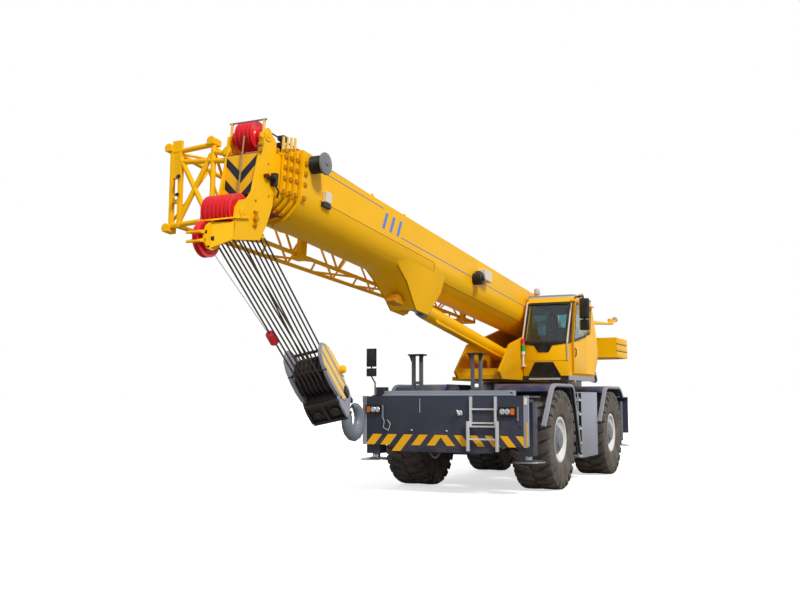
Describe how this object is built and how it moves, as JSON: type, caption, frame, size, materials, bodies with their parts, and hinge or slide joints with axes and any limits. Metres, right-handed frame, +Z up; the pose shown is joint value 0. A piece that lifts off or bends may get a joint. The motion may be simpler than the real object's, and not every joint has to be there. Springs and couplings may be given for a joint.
{
  "type": "rough terrain crane",
  "caption": "Rough terrain crane with steered wheels, outriggers, a slewing upper with cab and counterweight, and a telescopic boom with hook block.",
  "frame": {"origin": "on the ground under the middle of the whole machine, boom retracted and resting low over the front", "axes": "+X forward, the way the boom points; +Y to the operator's left; +Z up"},
  "size_m": [15.6036, 3.4284, 5.1788],
  "materials": {
    "crane_yellow": "gloss enamel",
    "carrier_slate": "satin enamel, dark navy slate",
    "fender_blue_grey": "satin enamel",
    "sheave_red": "gloss",
    "rim_white": "satin",
    "bare_steel": "bare",
    "tyre_rubber": "dusty rubber",
    "black_parts": "satin black",
    "seat_black": "woven"
  },
  "bodies": {
    "carrier": {"chassis_frame": "carrier_slate", "front_outrigger_box": "carrier_slate", "rear_outrigger_box": "carrier_slate", "front_deck": "fender_blue_grey", "rear_deck": "fender_blue_grey", "fuel_tank": "fender_blue_grey", "hydraulic_tank": "fender_blue_grey", "engine_hood": "carrier_slate", "engine_block": "black_parts", "front_axle": "carrier_slate", "rear_axle": "carrier_slate", "front_ladder": "bare_steel", "boom_rests": "carrier_slate", "headlamps_left": "black_parts", "headlamps_right": "black_parts", "carrier_mirror": "black_parts"},
    "steer_front_left": {"knuckle_front_left": "carrier_slate"},
    "steer_front_right": {"knuckle_front_right": "carrier_slate"},
    "steer_rear_left": {"knuckle_rear_left": "carrier_slate"},
    "steer_rear_right": {"knuckle_rear_right": "carrier_slate"},
    "wheel_front_left": {"rim_front_left": "rim_white", "tyre_front_left": "tyre_rubber"},
    "wheel_front_right": {"rim_front_right": "rim_white", "tyre_front_right": "tyre_rubber"},
    "wheel_rear_left": {"rim_rear_left": "rim_white", "tyre_rear_left": "tyre_rubber"},
    "wheel_rear_right": {"rim_rear_right": "rim_white", "tyre_rear_right": "tyre_rubber"},
    "beam_front_left": {"outrigger_beam_front_left": "carrier_slate"},
    "beam_front_right": {"outrigger_beam_front_right": "carrier_slate"},
    "beam_rear_left": {"outrigger_beam_rear_left": "carrier_slate"},
    "beam_rear_right": {"outrigger_beam_rear_right": "carrier_slate"},
    "jack_body_front_left": {"jack_front_left": "bare_steel"},
    "jack_body_front_right": {"jack_front_right": "bare_steel"},
    "jack_body_rear_left": {"jack_rear_left": "bare_steel"},
    "jack_body_rear_right": {"jack_rear_right": "bare_steel"},
    "superstructure": {"slewing_platform": "crane_yellow", "counterweight": "crane_yellow", "cab_shell": "crane_yellow", "operator_seat": "seat_black"},
    "door": {"cab_door": "crane_yellow"},
    "main_winch": {"main_winch_drum": "bare_steel"},
    "auxiliary_winch": {"auxiliary_winch_drum": "bare_steel"},
    "luff_barrel": {"luff_cylinder_barrel": "crane_yellow"},
    "luff_rod": {"luff_cylinder_rod": "bare_steel"},
    "boom": {"boom_base_section": "crane_yellow", "cable_reel": "black_parts", "stowed_jib": "crane_yellow"},
    "section_2": {"boom_section_2": "crane_yellow"},
    "section_3": {"boom_section_3": "crane_yellow"},
    "section_4": {"boom_section_4": "crane_yellow"},
    "section_5": {"boom_section_5": "crane_yellow", "boom_head": "crane_yellow"},
    "upper_sheave_pack": {"upper_sheaves": "sheave_red"},
    "lower_sheave_pack": {"lower_sheaves": "sheave_red"},
    "nose_sheave_wheel": {"nose_sheave": "sheave_red"},
    "block": {"hook_block": "black_parts"},
    "load_hook": {"hook": "bare_steel"}
  },
  "joints": [
    {"name": "steer_front_left", "type": "hinge", "parent": "carrier", "child": "steer_front_left", "pos_m": [-1.215, 1, 0.935], "axis": [0, 0, 1], "range_deg": [-24, 24]},
    {"name": "steer_front_right", "type": "hinge", "parent": "carrier", "child": "steer_front_right", "pos_m": [-1.215, -1, 0.935], "axis": [0, 0, 1], "range_deg": [-24, 24]},
    {"name": "steer_rear_left", "type": "hinge", "parent": "carrier", "child": "steer_rear_left", "pos_m": [-5.345, 1, 0.935], "axis": [0, 0, 1], "range_deg": [-24, 24]},
    {"name": "steer_rear_right", "type": "hinge", "parent": "carrier", "child": "steer_rear_right", "pos_m": [-5.345, -1, 0.935], "axis": [0, 0, 1], "range_deg": [-24, 24]},
    {"name": "wheel_spin_front_left", "type": "hinge", "parent": "steer_front_left", "child": "wheel_front_left", "pos_m": [-1.215, 1.285, 0.935], "axis": [0, 1, 0], "continuous": true},
    {"name": "wheel_spin_front_right", "type": "hinge", "parent": "steer_front_right", "child": "wheel_front_right", "pos_m": [-1.215, -1.285, 0.935], "axis": [0, 1, 0], "continuous": true},
    {"name": "wheel_spin_rear_left", "type": "hinge", "parent": "steer_rear_left", "child": "wheel_rear_left", "pos_m": [-5.345, 1.285, 0.935], "axis": [0, 1, 0], "continuous": true},
    {"name": "wheel_spin_rear_right", "type": "hinge", "parent": "steer_rear_right", "child": "wheel_rear_right", "pos_m": [-5.345, -1.285, 0.935], "axis": [0, 1, 0], "continuous": true},
    {"name": "beam_slide_front_left", "type": "slide", "parent": "carrier", "child": "beam_front_left", "axis": [0, 1, 0], "range_m": [0, 2]},
    {"name": "beam_slide_front_right", "type": "slide", "parent": "carrier", "child": "beam_front_right", "axis": [0, -1, 0], "range_m": [0, 2]},
    {"name": "beam_slide_rear_left", "type": "slide", "parent": "carrier", "child": "beam_rear_left", "axis": [0, 1, 0], "range_m": [0, 2]},
    {"name": "beam_slide_rear_right", "type": "slide", "parent": "carrier", "child": "beam_rear_right", "axis": [0, -1, 0], "range_m": [0, 2]},
    {"name": "jack_slide_front_left", "type": "slide", "parent": "beam_front_left", "child": "jack_body_front_left", "axis": [0, 0, -1], "range_m": [0, 0.65]},
    {"name": "jack_slide_front_right", "type": "slide", "parent": "beam_front_right", "child": "jack_body_front_right", "axis": [0, 0, -1], "range_m": [0, 0.65]},
    {"name": "jack_slide_rear_left", "type": "slide", "parent": "beam_rear_left", "child": "jack_body_rear_left", "axis": [0, 0, -1], "range_m": [0, 0.65]},
    {"name": "jack_slide_rear_right", "type": "slide", "parent": "beam_rear_right", "child": "jack_body_rear_right", "axis": [0, 0, -1], "range_m": [0, 0.65]},
    {"name": "slew", "type": "hinge", "parent": "carrier", "child": "superstructure", "pos_m": [-3.415, 0, 2.05], "axis": [0, 0, 1], "continuous": true},
    {"name": "door_slide", "type": "slide", "parent": "superstructure", "child": "door", "axis": [-1, 0, 0], "range_m": [0, 0.75]},
    {"name": "main_winch_spin", "type": "hinge", "parent": "superstructure", "child": "main_winch", "pos_m": [-6.135, 0, 2.96], "axis": [0, 1, 0], "continuous": true},
    {"name": "auxiliary_winch_spin", "type": "hinge", "parent": "superstructure", "child": "auxiliary_winch", "pos_m": [-4.665, 0, 2.6], "axis": [0, 1, 0], "continuous": true},
    {"name": "luff", "type": "hinge", "parent": "superstructure", "child": "boom", "pos_m": [-5.115, 0, 3.25], "axis": [0, -1, 0], "range_deg": [-5, 75]},
    {"name": "luff_cylinder_pivot", "type": "hinge", "parent": "superstructure", "child": "luff_barrel", "pos_m": [-2.515, 0, 2.63], "axis": [0, -1, 0], "range_deg": [-6, 88]},
    {"name": "luff_cylinder_stroke", "type": "slide", "parent": "luff_barrel", "child": "luff_rod", "axis": [0.9896, 0, 0.1437], "range_m": [-0.2, 2.99]},
    {"name": "telescope_2", "type": "slide", "parent": "boom", "child": "section_2", "axis": [0.9962, 0, 0.0872], "range_m": [0, 8.3]},
    {"name": "telescope_3", "type": "slide", "parent": "section_2", "child": "section_3", "axis": [0.9962, 0, 0.0872], "range_m": [0, 8.3]},
    {"name": "telescope_4", "type": "slide", "parent": "section_3", "child": "section_4", "axis": [0.9962, 0, 0.0872], "range_m": [0, 8.3]},
    {"name": "telescope_5", "type": "slide", "parent": "section_4", "child": "section_5", "axis": [0.9962, 0, 0.0872], "range_m": [0, 8.3]},
    {"name": "upper_sheave_spin", "type": "hinge", "parent": "section_5", "child": "upper_sheave_pack", "pos_m": [6.7818, 0, 4.9534], "axis": [0, 1, 0], "continuous": true},
    {"name": "lower_sheave_spin", "type": "hinge", "parent": "section_5", "child": "lower_sheave_pack", "pos_m": [7.2753, 0, 3.9024], "axis": [0, 1, 0], "continuous": true},
    {"name": "nose_sheave_spin", "type": "hinge", "parent": "section_5", "child": "nose_sheave_wheel", "pos_m": [7.6389, 0, 3.5327], "axis": [0, 1, 0], "continuous": true},
    {"name": "hook_hang", "type": "hinge", "parent": "section_5", "child": "block", "pos_m": [7.2753, 0, 3.9024], "axis": [0, -1, 0], "range_deg": [-27, 2]},
    {"name": "hook_swivel", "type": "hinge", "parent": "block", "child": "load_hook", "pos_m": [4.8037, 0, 1.7158], "axis": [-0.9171, 0, -0.3987], "continuous": true}
  ],
  "couplings": [
    {"joint": "steer_front_right", "follows": "steer_front_left", "ratio": 1},
    {"joint": "steer_rear_right", "follows": "steer_rear_left", "ratio": 1},
    {"joint": "luff_cylinder_pivot", "follows": "luff", "ratio": 1.1705},
    {"joint": "luff_cylinder_stroke", "follows": "luff", "m_per_rad": 2.2776},
    {"joint": "hook_hang", "follows": "luff", "ratio": -0.3533}
  ]
}
